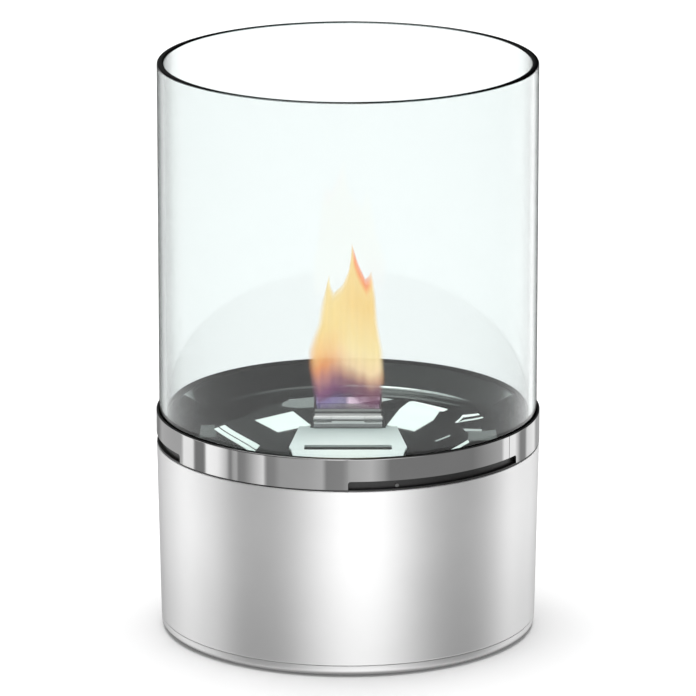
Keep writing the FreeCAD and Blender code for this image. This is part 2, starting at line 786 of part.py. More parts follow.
def make_snuffer_flap():
    """Six-sided plate, bent down at the front to stand on the dish, with a slot to lift it by.
    It turns over about the hinge and comes down on the mouth."""
    body = new_body("snuffer_flap")
    rear = hinge_y + size.ear_reach
    tip = size.flap_tip_margin - gutter_inner
    bend = tip + size.flap_lip_length
    wide = bend + size.flap_wide_set_back
    slope = size.deck_rise / (gutter_inner - deck_edge)
    dish_at_tip = deck_top - (-tip - deck_edge) * slope
    tip_under = dish_at_tip + size.flap_rest_gap
    tip_top = tip_under + size.flap_sheet
    sketch = new_sketch(body, "YZ_Plane")
    draw_outline(sketch, [(rear, flap_under), (rear, flap_top), (bend, flap_top),
                          (tip, tip_top), (tip, tip_under), (bend, flap_under)])
    pad(body, sketch, size.flap_wide_width, True)

    # the sides narrow both ways from the widest place
    rear_side = size.flap_rear_width / 2
    wide_side = size.flap_wide_width / 2
    tip_side = size.flap_tip_width / 2
    beyond = wide_side + size.overrun
    sketch = new_sketch(body, "XY_Plane")
    right_waste = [(rear_side, rear), (wide_side, wide), (tip_side, tip), (beyond, tip), (beyond, rear)]
    draw_outline(sketch, right_waste)
    draw_outline(sketch, [(-across, along) for across, along in right_waste])
    cut_through(body, sketch)

    # gap between the ears, then the upstand and the knuckle
    upstand_front = hinge_y - knuckle_radius
    upstand_back = upstand_front + size.flap_sheet
    ear_side = collar_side + size.ear_gap
    sketch = new_sketch(body, "XY_Plane")
    draw_box(sketch, (-ear_side, upstand_back), (ear_side, rear + size.overrun))
    cut_through(body, sketch)
    upstand_top = hinge_z - knuckle_radius - size.hinge_gap
    sketch = new_sketch(body, "YZ_Plane")
    draw_box(sketch, (upstand_front, flap_under), (upstand_back, upstand_top))
    pad(body, sketch, size.collar_width, True)
    sketch = new_sketch(body, "YZ_Plane")
    draw_box(sketch, (upstand_front, flap_under), (upstand_back, hinge_z))
    pad(body, sketch, size.flap_knuckle_width, True)
    sketch = new_sketch(body, "YZ_Plane")
    draw_circle(sketch, hinge_y, hinge_z, knuckle_radius)
    pad(body, sketch, size.flap_knuckle_width, True)
    sketch = new_sketch(body, "YZ_Plane")
    draw_circle(sketch, hinge_y, hinge_z, bore_radius)
    cut_through(body, sketch)

    # slot to lift the flap by
    slot_side = size.flap_slot_width / 2
    slot_front = bend + size.flap_slot_set_back
    slot_rear = slot_front + size.flap_slot_depth
    sketch = new_sketch(body, "XY_Plane")
    draw_box(sketch, (-slot_side, slot_front), (slot_side, slot_rear))
    cut_through(body, sketch)

    def is_slot_corner(edge):
        return is_upright(edge) and abs(abs(edge.CenterOfMass.x) - slot_side.value) < same_place

    round_edges(body, size.flap_slot_round, is_slot_corner)


make_base_mat()
make_base_pan()
make_base_drum()
make_drum_lugs()
make_pan_screws()
make_carrier_ring()
make_spring_clips()
make_clip_rivets()
make_trim_ring()
make_glass_gasket()
make_glass_cylinder()
make_fire_dish()
make_studs("dish_studs", dish_stud_circle, gutter_under, size.dish_stud_count, size.clip_turn)
make_nuts("dish_nuts", dish_stud_circle, gutter_under - size.carrier_sheet,
          size.dish_stud_count, size.clip_turn)
make_fuel_can()
make_can_gasket()
make_studs("can_studs", can_stud_circle, deck_under, size.can_stud_count, None)
make_nuts("can_nuts", can_stud_circle, can_flange_under, size.can_stud_count, None)
make_wool_fill()
make_wick_strip()
make_wick_screen()
make_burner_collar()
make_hinge_leaf()
make_hinge_pin()
make_snuffer_flap()

doc.recompute()
for item in doc.Objects:
    if {"Invalid", "Error"} & set(item.State):
        raise RuntimeError(f"{item.Label} failed: {item.State}")
for body in sub_parts:
    if body.Shape.isNull() or not body.Shape.isValid():
        raise RuntimeError(f"{body.Label} has no valid shape")

os.makedirs("parts", exist_ok=True)
for body in sub_parts:
    body.Shape.exportStep(f"parts/{body.Label}.step")
    box = body.Shape.BoundBox
    print(f"{body.Label}: {len(body.Shape.Solids)} solids, {body.Shape.Volume:.1f} mm3, "
          f"x {box.XMin:.2f} to {box.XMax:.2f}, y {box.YMin:.2f} to {box.YMax:.2f}, "
          f"z {box.ZMin:.2f} to {box.ZMax:.2f}")
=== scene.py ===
import math
import bpy
import numpy as np
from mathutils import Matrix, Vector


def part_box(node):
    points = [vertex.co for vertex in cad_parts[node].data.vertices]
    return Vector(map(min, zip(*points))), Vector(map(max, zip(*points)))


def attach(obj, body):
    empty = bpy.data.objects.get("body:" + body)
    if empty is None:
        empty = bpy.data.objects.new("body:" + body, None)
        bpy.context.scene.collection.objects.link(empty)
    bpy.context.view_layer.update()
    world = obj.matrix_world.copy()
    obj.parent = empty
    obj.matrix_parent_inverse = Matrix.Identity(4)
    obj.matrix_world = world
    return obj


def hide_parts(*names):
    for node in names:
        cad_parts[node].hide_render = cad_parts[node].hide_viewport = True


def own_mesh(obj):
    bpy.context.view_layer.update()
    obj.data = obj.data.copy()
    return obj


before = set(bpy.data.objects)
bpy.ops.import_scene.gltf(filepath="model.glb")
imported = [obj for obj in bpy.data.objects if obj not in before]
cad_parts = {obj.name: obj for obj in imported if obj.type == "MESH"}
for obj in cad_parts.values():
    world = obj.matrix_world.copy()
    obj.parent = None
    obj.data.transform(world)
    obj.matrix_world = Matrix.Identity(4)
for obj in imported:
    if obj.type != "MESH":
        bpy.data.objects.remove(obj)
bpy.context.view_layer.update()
mm = 0.001
tiny = 1e-9  # keeps divisions from zero
print("frame loaded:", len(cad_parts), "nodes")


# Meshes from grids

def meshFromGrid(name, grid, closeAcross=False, closeAlong=False):
    # grid holds points as rows x columns x 3; each cell becomes one quad
    rows, cols = grid.shape[:2]
    index = np.arange(rows * cols).reshape(rows, cols)
    if closeAcross:
        index = np.concatenate([index, index[:, :1]], axis=1)
    if closeAlong:
        index = np.concatenate([index, index[:1]], axis=0)
    quads = np.stack([index[:-1, :-1], index[:-1, 1:], index[1:, 1:], index[1:, :-1]], axis=-1).reshape(-1, 4)
    mesh = bpy.data.meshes.new(name)
    mesh.from_pydata(grid.reshape(-1, 3).tolist(), [], quads.tolist())
    mesh.validate()
    return mesh


def addPiece(name, mesh, material, smoothAngle=35):
    mesh.polygons.foreach_set("use_smooth", np.ones(len(mesh.polygons), bool))
    mesh.set_sharp_from_angle(angle=math.radians(smoothAngle))
    mesh.materials.append(material)
    piece = bpy.data.objects.new(name, mesh)
    bpy.context.scene.collection.objects.link(piece)
    return piece


def roundedProfile(corners, steps=6):
    # corners are (radius, height, rounding); a rounded corner becomes an arc that touches both its sides
    out = []
    count = len(corners)
    for i, (r, z, rounding) in enumerate(corners):
        here = np.array([r, z])
        if rounding <= 0:
            out.append(here[None])
            continue
        before = np.array(corners[i - 1][:2]) - here
        after = np.array(corners[(i + 1) % count][:2]) - here
        before, after = before / np.linalg.norm(before), after / np.linalg.norm(after)
        half = math.acos(np.clip(before @ after, -1, 1)) / 2
        middle = here + (before + after) / np.linalg.norm(before + after) * rounding / math.sin(half)
        start = here + before * rounding / math.tan(half) - middle
        end = here + after * rounding / math.tan(half) - middle
        swing = math.acos(np.clip(start @ end / rounding ** 2, -1, 1))
        t = np.linspace(0, 1, steps + 1)[:, None]
        out.append(middle + (np.sin((1 - t) * swing) * start + np.sin(t * swing) * end) / math.sin(swing))
    return np.concatenate(out)


def guardedProfile(profile, reach=0.4 * mm):
    # two more points near the ends of each stretch over four times the reach keep its shading straight
    ahead = np.roll(profile, -1, axis=0)
    step = ahead - profile
    length = np.linalg.norm(step, axis=1)
    far = length > 4 * reach
    way = step / np.maximum(length, tiny)[:, None] * reach
    points = np.stack([profile, profile + way, ahead - way], axis=1)
    return points[np.stack([np.ones_like(far), far, far], axis=1)]


def latheGrid(profile, turns):
    # the profile of radii and heights, carried round the vertical axis
    r, z = profile[:, 0][:, None], profile[:, 1][:, None]
    return np.stack([r * np.cos(turns), r * np.sin(turns), z + 0 * turns], axis=-1)


def lathePiece(name, corners, material, segments=288, steps=6):
    # a closed profile, rounded and guarded, carried once round the axis
    turns = np.linspace(0, 2 * math.pi, segments, endpoint=False)[None]
    profile = guardedProfile(roundedProfile(corners, steps))
    mesh = meshFromGrid(name, latheGrid(profile, turns), closeAcross=True, closeAlong=True)
    return addPiece(name, mesh, material)


# Material helpers

def newMaterial(name, **plain):
    material = bpy.data.materials.new(name)
    material.use_nodes = True
    shader = material.node_tree.nodes["Principled BSDF"]
    for socket, value in plain.items():
        shader.inputs[socket.replace("_", " ")].default_value = value
    return material, material.node_tree, shader


def feed(tree, socket, value):
    # a number or a colour is set on the socket itself, and anything else is linked to it
    if isinstance(value, (int, float)):
        socket.default_value = value
    elif isinstance(value, tuple):
        socket.default_value = (*value, 1)
    else:
        tree.links.new(value, socket)


def mathNode(tree, operation, first, second=None):
    node = tree.nodes.new("ShaderNodeMath")
    node.operation = operation
    feed(tree, node.inputs[0], first)
    if second is not None:
        feed(tree, node.inputs[1], second)
    return node.outputs[0]


def awayFrom(tree, value, middle):
    return mathNode(tree, "ABSOLUTE", mathNode(tree, "SUBTRACT", value, middle))


def rampNode(tree, value, stops, smooth=False):
    node = tree.nodes.new("ShaderNodeValToRGB")
    node.color_ramp.interpolation = "EASE" if smooth else "LINEAR"
    elements = node.color_ramp.elements
    while len(elements) < len(stops):
        elements.new(0.5)
    for element, (place, colour) in zip(elements, stops):
        element.position = place
        element.color = (*colour, 1)
    tree.links.new(value, node.inputs[0])
    return node.outputs[0]


def mapRange(tree, value, ends=(0.0, 1.0), levels=(0.0, 1.0), way="LINEAR"):
    # carries a value from between two ends to between two levels, and holds it beyond the ends
    node = tree.nodes.new("ShaderNodeMapRange")
    node.interpolation_type = way
    tree.links.new(value, node.inputs["Value"])
    for label, bound in zip(("From Min", "From Max", "To Min", "To Max"), (*ends, *levels)):
        feed(tree, node.inputs[label], bound)
    return node.outputs[0]


def mixColour(tree, factor, first, second, blend="MIX"):
    mix = tree.nodes.new("ShaderNodeMix")
    mix.data_type = "RGBA"
    mix.blend_type = blend
    feed(tree, mix.inputs["Factor"], factor)
    feed(tree, mix.inputs["A"], first)
    feed(tree, mix.inputs["B"], second)
    return mix.outputs["Result"]


def mixValue(tree, factor, first, second):
    mix = tree.nodes.new("ShaderNodeMix")
    feed(tree, mix.inputs["Factor"], factor)
    feed(tree, mix.inputs["A"], first)
    feed(tree, mix.inputs["B"], second)
    return mix.outputs[0]


def noiseNode(tree, place, scale, detail):
    noise = tree.nodes.new("ShaderNodeTexNoise")
    tree.links.new(place, noise.inputs["Vector"])
    feed(tree, noise.inputs["Scale"], scale)
    feed(tree, noise.inputs["Detail"], detail)
    return noise.outputs[0]


def objectPlace(tree):
    return tree.nodes.new("ShaderNodeTexCoord").outputs["Object"]


def objectAxes(tree):
    split = tree.nodes.new("ShaderNodeSeparateXYZ")
    tree.links.new(objectPlace(tree), split.inputs[0])
    return split.outputs


def addBump(tree, shader, height, strength, distance):
    bump = tree.nodes.new("ShaderNodeBump")
    bump.inputs["Strength"].default_value = strength
    bump.inputs["Distance"].default_value = distance
    tree.links.new(height, bump.inputs["Height"])
    tree.links.new(bump.outputs[0], shader.inputs["Normal"])


def grey(level):
    return (level, level, level)


# Effects that several finishes share

def newGroup(name, inputs, outputs):
    tree = bpy.data.node_groups.new(name, "ShaderNodeTree")
    for label in inputs:
        tree.interface.new_socket(label, in_out="INPUT", socket_type="NodeSocketFloat")
    for label in outputs:
        tree.interface.new_socket(label, in_out="OUTPUT", socket_type="NodeSocketFloat")
    return tree, tree.nodes.new("NodeGroupInput").outputs, tree.nodes.new("NodeGroupOutput").inputs


def placeGroup(tree, group, **values):
    node = tree.nodes.new("ShaderNodeGroup")
    node.node_tree = group
    for label, value in values.items():
        node.inputs[label].default_value = value
    return node.outputs


def makeTurnedGrain():
    # fine rings left by turning and brushing: noise that changes fast with height and slowly round the axis
    grain = {"streakScale": 1, "streakDetail": 3, "smudgeScale": 38, "smudgeDetail": 4}
    tree, inside, outside = newGroup("turnedGrain", ["Fineness", "Run"], ["Streak", "Smudge"])
    axes = objectAxes(tree)
    turn = mathNode(tree, "ARCTAN2", axes["Y"], axes["X"])
    squares = [mathNode(tree, "POWER", axes[label], 2.0) for label in ("X", "Y")]
    radius = mathNode(tree, "SQRT", mathNode(tree, "ADD", *squares))
    join = tree.nodes.new("ShaderNodeCombineXYZ")
    for label, value, rate in (("X", turn, "Run"), ("Y", axes["Z"], "Fineness"), ("Z", radius, "Fineness")):
        tree.links.new(mathNode(tree, "MULTIPLY", value, inside[rate]), join.inputs[label])
    streak = noiseNode(tree, join.outputs[0], grain["streakScale"], grain["streakDetail"])
    smudge = noiseNode(tree, objectPlace(tree), grain["smudgeScale"], grain["smudgeDetail"])
    tree.links.new(streak, outside["Streak"])
    tree.links.new(smudge, outside["Smudge"])
    return tree


def makeFineSpeckle():
    # even noise, the finer the larger its scale
    detail = 5
    tree, inside, outside = newGroup("fineSpeckle", ["Scale"], ["Speckle"])
    tree.links.new(noiseNode(tree, objectPlace(tree), inside["Scale"], detail), outside["Speckle"])
    return tree


def makeHeightShade():
    # a soft change of shade between two heights: the floor's shade painted into a wall's foot, a rim darker
    # at its top
    tree, inside, outside = newGroup("heightShade", ["Low", "High", "LowShade", "HighShade"], ["Shade"])
    ends = (inside["Low"], inside["High"])
    levels = (inside["LowShade"], inside["HighShade"])
    tree.links.new(mapRange(tree, objectAxes(tree)["Z"], ends, levels, "SMOOTHSTEP"), outside["Shade"])
    return tree


def makePaintedBandLight():
    # light and dark bands, measured down from the collar's top: painted highlights and shade of the rolled
    # hinge and collar lip
    span = 8 * mm
    bands = [(0.0, 0.4), (0.085, 0.4), (0.115, 0.08), (0.185, 0.08), (0.22, 0.8), (0.385, 0.8), (0.41, 0.1),
             (0.455, 0.1), (0.49, 0.9), (0.585, 0.9), (0.625, 0.32), (0.73, 0.32), (0.75, 0.15), (1.0, 0.15)]
    tree, inside, outside = newGroup("paintedBandLight", ["Top"], ["Shade"])
    drop = mathNode(tree, "SUBTRACT", inside["Top"], objectAxes(tree)["Z"])
    stops = [(place, grey(level)) for place, level in bands]
    tree.links.new(rampNode(tree, mathNode(tree, "DIVIDE", drop, span), stops), outside["Shade"])
    return tree


turnedGrain = makeTurnedGrain()
fineSpeckle = makeFineSpeckle()
heightShade = makeHeightShade()
paintedBandLight = makePaintedBandLight()
noiseSpan = (0.3, 0.7)  # nearly all of a noise's values lie between these


def twoTone(tree, noise, colours):
    return rampNode(tree, noise, list(zip(noiseSpan, colours)))


def shadeByHeight(material, low, high, lowShade, highShade):
    tree = material.node_tree
    base = tree.nodes["Principled BSDF"].inputs["Base Color"]
    shades = placeGroup(tree, heightShade, Low=low, High=high, LowShade=lowShade, HighShade=highShade)
    plain = base.links[0].from_socket
    tree.links.new(mixColour(tree, 1.0, plain, shades["Shade"], "MULTIPLY"), base)


def placePaintedBands(tree):
    return placeGroup(tree, paintedBandLight, Top=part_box("burner_collar")[1].z)["Shade"]


# Finishes

def turnedMetal(name, colours, roughness, fineness, run, bump):
    metal = {"streakShare": 0.6, "bumpDistance": 0.02 * mm}
    material, tree, shader = newMaterial(name, Metallic=1.0)
    grain = placeGroup(tree, turnedGrain, Fineness=fineness, Run=run)
    tree.links.new(twoTone(tree, grain["Smudge"], colours), shader.inputs["Base Color"])
    streak = mathNode(tree, "MULTIPLY", grain["Streak"], metal["streakShare"])
    smudge = mathNode(tree, "MULTIPLY", grain["Smudge"], 1 - metal["streakShare"])
    gloss = mapRange(tree, mathNode(tree, "ADD", streak, smudge), levels=roughness)
    tree.links.new(gloss, shader.inputs["Roughness"])
    if bump > 0:
        addBump(tree, shader, grain["Streak"], bump, metal["bumpDistance"])
    return material


def speckledBody(name, roughness, scale, bump, **plain):
    # fine noise in gloss and height
    bumpDistance = 0.1 * mm
    material, tree, shader = newMaterial(name, **plain)
    speckle = placeGroup(tree, fineSpeckle, Scale=scale)["Speckle"]
    tree.links.new(mapRange(tree, speckle, levels=roughness), shader.inputs["Roughness"])
    addBump(tree, shader, speckle, bump, bumpDistance)
    return material, tree, shader, speckle


def speckled(name, colours, roughness, scale, bump, **plain):
    # matt and enamel finishes: the same noise in colour too
    material, tree, shader, speckle = speckledBody(name, roughness, scale, bump, **plain)
    tree.links.new(twoTone(tree, speckle, colours), shader.inputs["Base Color"])
    return material


def makeRingSteel():
    # polished band with one butt seam, a dark line down its face
    seam = {"turn": math.radians(-34), "halfTurn": 0.0022, "colour": grey(0.05)}
    material = turnedMetal("ringSteel", (grey(0.35), grey(0.38)), (0.03, 0.06),
                           fineness=1400, run=3, bump=0.005)
    tree = material.node_tree
    base = tree.nodes["Principled BSDF"].inputs["Base Color"]
    axes = objectAxes(tree)
    turn = mathNode(tree, "ARCTAN2", axes["Y"], axes["X"])
    inSeam = mathNode(tree, "LESS_THAN", awayFrom(tree, turn, seam["turn"]), seam["halfTurn"])
    tree.links.new(mixColour(tree, inSeam, base.links[0].from_socket, seam["colour"]), base)
    return material


def makeFlapSteel():
    # pale sheet, painted greyer towards its hinge where less light falls, a painted shade, with painted bands
    # of highlight and shade up the hinge
    look = {"grey": (0.46, 0.54, 0.53), "pale": (0.84, 0.95, 0.93), "hinge": -12 * mm, "bend": -36 * mm,
            "sheetTop": 77.25 * mm}
    material, tree, shader, _ = speckledBody("flapSteel", (0.28, 0.4), scale=700, bump=0.05,
                                             Metallic=0.1)
    axes = objectAxes(tree)
    along = mapRange(tree, axes["Y"], (look["hinge"], look["bend"]))
    sheet = rampNode(tree, along, [(0.0, look["grey"]), (1.0, look["pale"])])
    upright = mathNode(tree, "GREATER_THAN", axes["Z"], look["sheetTop"])
    tree.links.new(mixColour(tree, upright, sheet, placePaintedBands(tree)), shader.inputs["Base Color"])
    return material


def makeBurnerSteel():
    # painted bands of highlight and shade on the front; the rest is near black, but for a strip of the inner
    # back wall, a painted glow standing in for the fire's light on it, which narrows to the right
    look = {"front": -9.9 * mm, "nearBlackRest": (0.03, 0.028, 0.03), "lit": 9.4 * mm, "litReach": 0.3 * mm,
            "litEnds": (-1 * mm, 0.5 * mm), "litMiddle": 81.5 * mm, "litHalf": 1.5 * mm, "litTaper": 0.08,
            "dull": (0.24, 0.22, 0.34), "bright": (0.95, 0.76, 0.92)}
    material, tree, shader, _ = speckledBody("burnerSteel", (0.3, 0.42), scale=900, bump=0.05,
                                             Metallic=0.3, Emission_Strength=1.0)
    axes = objectAxes(tree)
    across = mapRange(tree, axes["X"], look["litEnds"])
    glow = rampNode(tree, across, [(0.0, look["dull"]), (1.0, look["bright"])])
    rise = mathNode(tree, "MULTIPLY", mathNode(tree, "MAXIMUM", axes["X"], 0.0), look["litTaper"])
    height = mathNode(tree, "SUBTRACT", axes["Z"], look["litMiddle"])
    aside = mathNode(tree, "ADD", awayFrom(tree, height, rise), rise)
    onWall = mathNode(tree, "LESS_THAN", awayFrom(tree, axes["Y"], look["lit"]), look["litReach"])
    lit = mathNode(tree, "MULTIPLY", onWall, mathNode(tree, "LESS_THAN", aside, look["litHalf"]))
    # the strip's painted glow, in its emission and in its colour
    tree.links.new(mixColour(tree, lit, grey(0.0), glow), shader.inputs["Emission Color"])
    front = mathNode(tree, "LESS_THAN", axes["Y"], look["front"])
    shade = mixColour(tree, front, mixColour(tree, lit, look["nearBlackRest"], glow), placePaintedBands(tree))
    tree.links.new(shade, shader.inputs["Base Color"])
    return material


def makeClearGlass():
    # faintly green glass, darker at a slant, and painted darker still on its left side, a painted shade; the
    # ground rim at the top is painted dark, a painted shade, because little light leaves it upwards
    look = {"tint": (0.875, 0.9, 0.898), "rim": (0.003, 0.006, 0.006), "rimDepth": 0.5 * mm,
            "rimFullShare": 0.6,
            "rightEdge": [(0.0, 1.0), (0.5, 0.98), (0.58, 0.97), (0.65, 0.93), (0.7, 0.87), (0.76, 0.7),
                          (0.84, 0.54), (0.95, 0.45)],
            "paintedShadeLeftEdge": [(0.0, 1.0), (0.5, 0.98), (0.58, 0.965), (0.65, 0.88), (0.7, 0.78), (0.76, 0.55),
                         (0.84, 0.4), (0.95, 0.34)],
            "sides": (20 * mm, -20 * mm), "absorb": 20.0, "absorbColour": (0.3, 0.48, 0.45)}
    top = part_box("glass_cylinder")[1].z
    rimEnds = (top - look["rimDepth"], top - look["rimDepth"] * look["rimFullShare"])
    material, tree, shader = newMaterial("clearGlass", Roughness=0.0, IOR=1.46, Transmission_Weight=1.0,
                                         Specular_IOR_Level=0.15)
    axes = objectAxes(tree)
    tilt = tree.nodes.new("ShaderNodeLayerWeight").outputs["Facing"]
    edges = []
    for side in ("rightEdge", "paintedShadeLeftEdge"):
        stops = [(place, tuple(level * share for level in look["tint"])) for place, share in look[side]]
        edges.append(rampNode(tree, tilt, stops))
    # painted shade: the left side's edges darker than the right side's
    body = mixColour(tree, mapRange(tree, axes["X"], look["sides"]), *edges)
    shade = mixColour(tree, mapRange(tree, axes["Z"], rimEnds), body, look["rim"])
    tree.links.new(shade, shader.inputs["Base Color"])
    absorb = tree.nodes.new("ShaderNodeVolumeAbsorption")
    absorb.inputs["Color"].default_value = (*look["absorbColour"], 1)
    absorb.inputs["Density"].default_value = look["absorb"]
    tree.links.new(absorb.outputs[0], tree.nodes["Material Output"].inputs["Volume"])
    return material


# colours and roughness run from low to high; a larger fineness or scale gives finer noise, and run is
# how fast the grain changes round the axis
satinSteel = turnedMetal("satinSteel", (grey(0.88), grey(0.92)), (0.38, 0.46),
                         fineness=2600, run=3, bump=0.06)
# painted shade: the drum and the pan darker towards the foot, standing in for the floor's shade that they
# mirror
shadeByHeight(satinSteel, low=0.0, high=55 * mm, lowShade=0.8, highShade=1.0)
# painted shade: the pan's lower rounding dark, standing in for the shade under it that it mirrors
shadeByHeight(satinSteel, low=1.2 * mm, high=2.6 * mm, lowShade=0.3, highShade=1.0)
plainSteel = turnedMetal("plainSteel", (grey(0.42), grey(0.55)), (0.22, 0.42),
                         fineness=1800, run=5, bump=0.15)
darkMirror = turnedMetal("darkMirror", ((0.46, 0.5, 0.48), (0.52, 0.56, 0.54)), (0.03, 0.06),
                         fineness=900, run=4, bump=0.0)
# the dish's lip darker at its top edge
shadeByHeight(darkMirror, low=80.6 * mm, high=80.95 * mm, lowShade=1.0, highShade=0.12)
ringSteel = makeRingSteel()
blackEnamel = speckled("blackEnamel", (grey(0.012), grey(0.02)), (0.32, 0.48), scale=900, bump=0.1)
rivetSteel = speckled("rivetSteel", (grey(0.1), grey(0.16)), (0.22, 0.32), scale=900, bump=0.05, Metallic=1.0)
blackSilicone = speckled("blackSilicone", (grey(0.006), grey(0.012)), (0.4, 0.55), scale=1200, bump=0.15)
foamMat = speckled("foamMat", (grey(0.02), grey(0.05)), (0.8, 0.95), scale=1500, bump=0.6)
fibreSeal = speckled("fibreSeal", ((0.3, 0.28, 0.25), (0.4, 0.38, 0.34)), (0.8, 0.95), scale=1100, bump=0.5)
ceramicWool = speckled("ceramicWool", ((0.72, 0.7, 0.64), (0.9, 0.88, 0.84)), (0.85, 1.0),
                       scale=1600, bump=0.8)
flapSteel = makeFlapSteel()
burnerSteel = makeBurnerSteel()
clearGlass = makeClearGlass()
print("finishes made")


# Turned pieces, finer than the CAD meshes, each in the place of its node

def nodeSpan(node):
    low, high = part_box(node)
    return low, high, high.x


def standFor(piece, node, body):
    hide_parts(node)
    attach(piece, body)


def makeDrumShell():
    # a thin wall that widens evenly from foot to top, with rounded outer edges
    shell = {"wall": 0.8 * mm, "taper": 1.3 * mm, "edge": 0.3 * mm}
    low, high, top = nodeSpan("base_drum")
    foot = top - shell["taper"]
    corners = [(foot - shell["wall"], low.z, 0), (foot, low.z, shell["edge"]),
               (top, high.z, shell["edge"]), (top - shell["wall"], high.z, 0)]
    standFor(lathePiece("drumShell", corners, satinSteel), "base_drum", "base")
    return foot


def makePanCover(drumFoot):
    # a pressed cover: flat middle, one raised bead with sloped flanks, rounded rim and upright wall
    pan = {"sheet": 0.8 * mm, "inset": 0.15 * mm, "edge": 2.1 * mm, "innerEdge": 1.3 * mm, "lip": 0.3 * mm,
           "margin": 4.65 * mm, "bead": 14 * mm, "rise": 2.2 * mm, "flank": 1.5 * mm, "ease": 0.5 * mm,
           "centre": 0.2 * mm}
    low, high, _ = nodeSpan("base_pan")
    outer = drumFoot - pan["inset"]
    inner = outer - pan["sheet"]
    beadOut = inner - pan["margin"]
    beadIn = beadOut - pan["bead"]
    lean, ease, flank, centre = pan["sheet"] / 2, pan["ease"], pan["flank"], pan["centre"]
    under, bead = low.z, low.z + pan["rise"]
    upper, beadTop = under + pan["sheet"], bead + pan["sheet"]
    corners = [(centre, under, 0), (beadIn, under, ease), (beadIn + flank, bead, ease),
               (beadOut - flank, bead, ease), (beadOut, under, ease), (outer, under, pan["edge"]),
               (outer, high.z, pan["lip"]), (inner, high.z, 0), (inner, upper, pan["innerEdge"]),
               (beadOut + lean, upper, ease), (beadOut - flank + lean, beadTop, ease),
               (beadIn + flank - lean, beadTop, ease), (beadIn - lean, upper, ease), (centre, upper, 0)]
    standFor(lathePiece("panCover", corners, satinSteel), "base_pan", "base")


def makeGlassTube():
    # a straight tube with rounded ends
    glass = {"wall": 2.6 * mm, "edge": 0.8 * mm, "foot": 0.1 * mm, "segments": 384}
    low, high, outer = nodeSpan("glass_cylinder")
    inner = outer - glass["wall"]
    corners = [(inner, low.z, glass["foot"]), (outer, low.z, glass["foot"]),
               (outer, high.z, glass["edge"]), (inner, high.z, glass["edge"])]
    tube = lathePiece("glassTube", corners, clearGlass, glass["segments"])
    standFor(tube, "glass_cylinder", "glass")
    return inner


def makeSealRing():
    # a foot under the glass, a wall up inside the ring and a low bead over the ring's top edge
    seal = {"lip": 0.2 * mm, "base": 1.0 * mm, "rise": 0.12 * mm, "inset": 0.22 * mm, "wall": 0.6 * mm,
            "foot": 3.3 * mm}
    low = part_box("glass_gasket")[0]
    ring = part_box("trim_ring")[1]
    ringIn = ring.x - seal["wall"]
    ringTop, sealTop = ring.z, ring.z + seal["rise"]
    sealOut, lipIn = ring.x - seal["inset"], ringIn - seal["lip"]
    corners = [(ringIn - seal["foot"], low.z, 0), (ringIn, low.z, 0), (ringIn, ringTop, 0),
               (sealOut, ringTop, 0), (sealOut, sealTop, seal["rise"] / 2),
               (lipIn, sealTop, seal["rise"] / 2), (lipIn, low.z + seal["base"], 0),
               (ringIn - seal["foot"], low.z + seal["base"], 0)]
    standFor(lathePiece("sealRing", corners, blackSilicone), "glass_gasket", "top")


def makeRingBand():
    # a band whose lower edge steps up at each notch; the notch's top corners are quarter circles
    band = {"wall": 0.6 * mm, "edge": 0.25 * mm, "notch": 3.1 * mm, "notchTurn": 60, "firstTurn": -60,
            "notches": 3, "corner": 1.0 * mm, "plainSteps": 24, "notchSteps": 38, "cornerSteps": 9}
    low, high, outer = nodeSpan("trim_ring")
    inner = outer - band["wall"]
    half = math.radians(band["notchTurn"] / 2)
    bend = band["corner"] / outer
    shoulder = band["notch"] - band["corner"]
    sideGap = 1e-5  # the turn between a notch's upright side and the plain edge beside it
    arc = np.linspace(0, math.pi / 2, band["cornerSteps"])
    side = half - bend + bend * np.sin(arc)
    rise = shoulder + band["corner"] * np.cos(arc)
    plain = np.linspace(half + sideGap, math.pi / band["notches"], band["plainSteps"])
    across = np.linspace(-(half - bend), half - bend, band["notchSteps"] + 2)[1:-1]
    offs = np.concatenate([-plain[::-1], [-half], -side[::-1], across, side, [half], plain[:-1]])
    flat = np.zeros_like(plain)
    raised = np.full_like(across, band["notch"])
    lifts = np.concatenate([flat, [shoulder], rise[::-1], raised, rise, [shoulder], flat[:-1]])
    starts = np.radians(band["firstTurn"] + np.arange(band["notches"]) * 360 / band["notches"])
    turns = (starts[:, None] + offs[None]).ravel()[None]
    lift = np.tile(lifts, band["notches"])
    corners = [(inner, low.z, 0), (outer, low.z, 0), (outer, high.z, band["edge"]), (inner, high.z, 0)]
    grid = latheGrid(guardedProfile(roundedProfile(corners)), turns)
    grid[..., 2] += lift * (high.z - grid[..., 2]) / (high.z - low.z)
    mesh = meshFromGrid("ringBand", grid, closeAcross=True, closeAlong=True)
    standFor(addPiece("ringBand", mesh, ringSteel), "trim_ring", "top")


dishForm = {"sheet": 0.8 * mm, "rimGap": 0.35 * mm, "seat": 62.9 * mm, "gutter": 6 * mm, "deck": 38 * mm,
            "rise": 3.5 * mm, "corner": 2 * mm, "crease": 3 * mm, "ease": 8 * mm, "lip": 0.26 * mm,
            "mouthSide": 11.6 * mm, "mouthFront": 9.4 * mm, "inmost": 15 * mm, "segments": 360,
            "arcSteps": 10, "smoothAngle": 50}


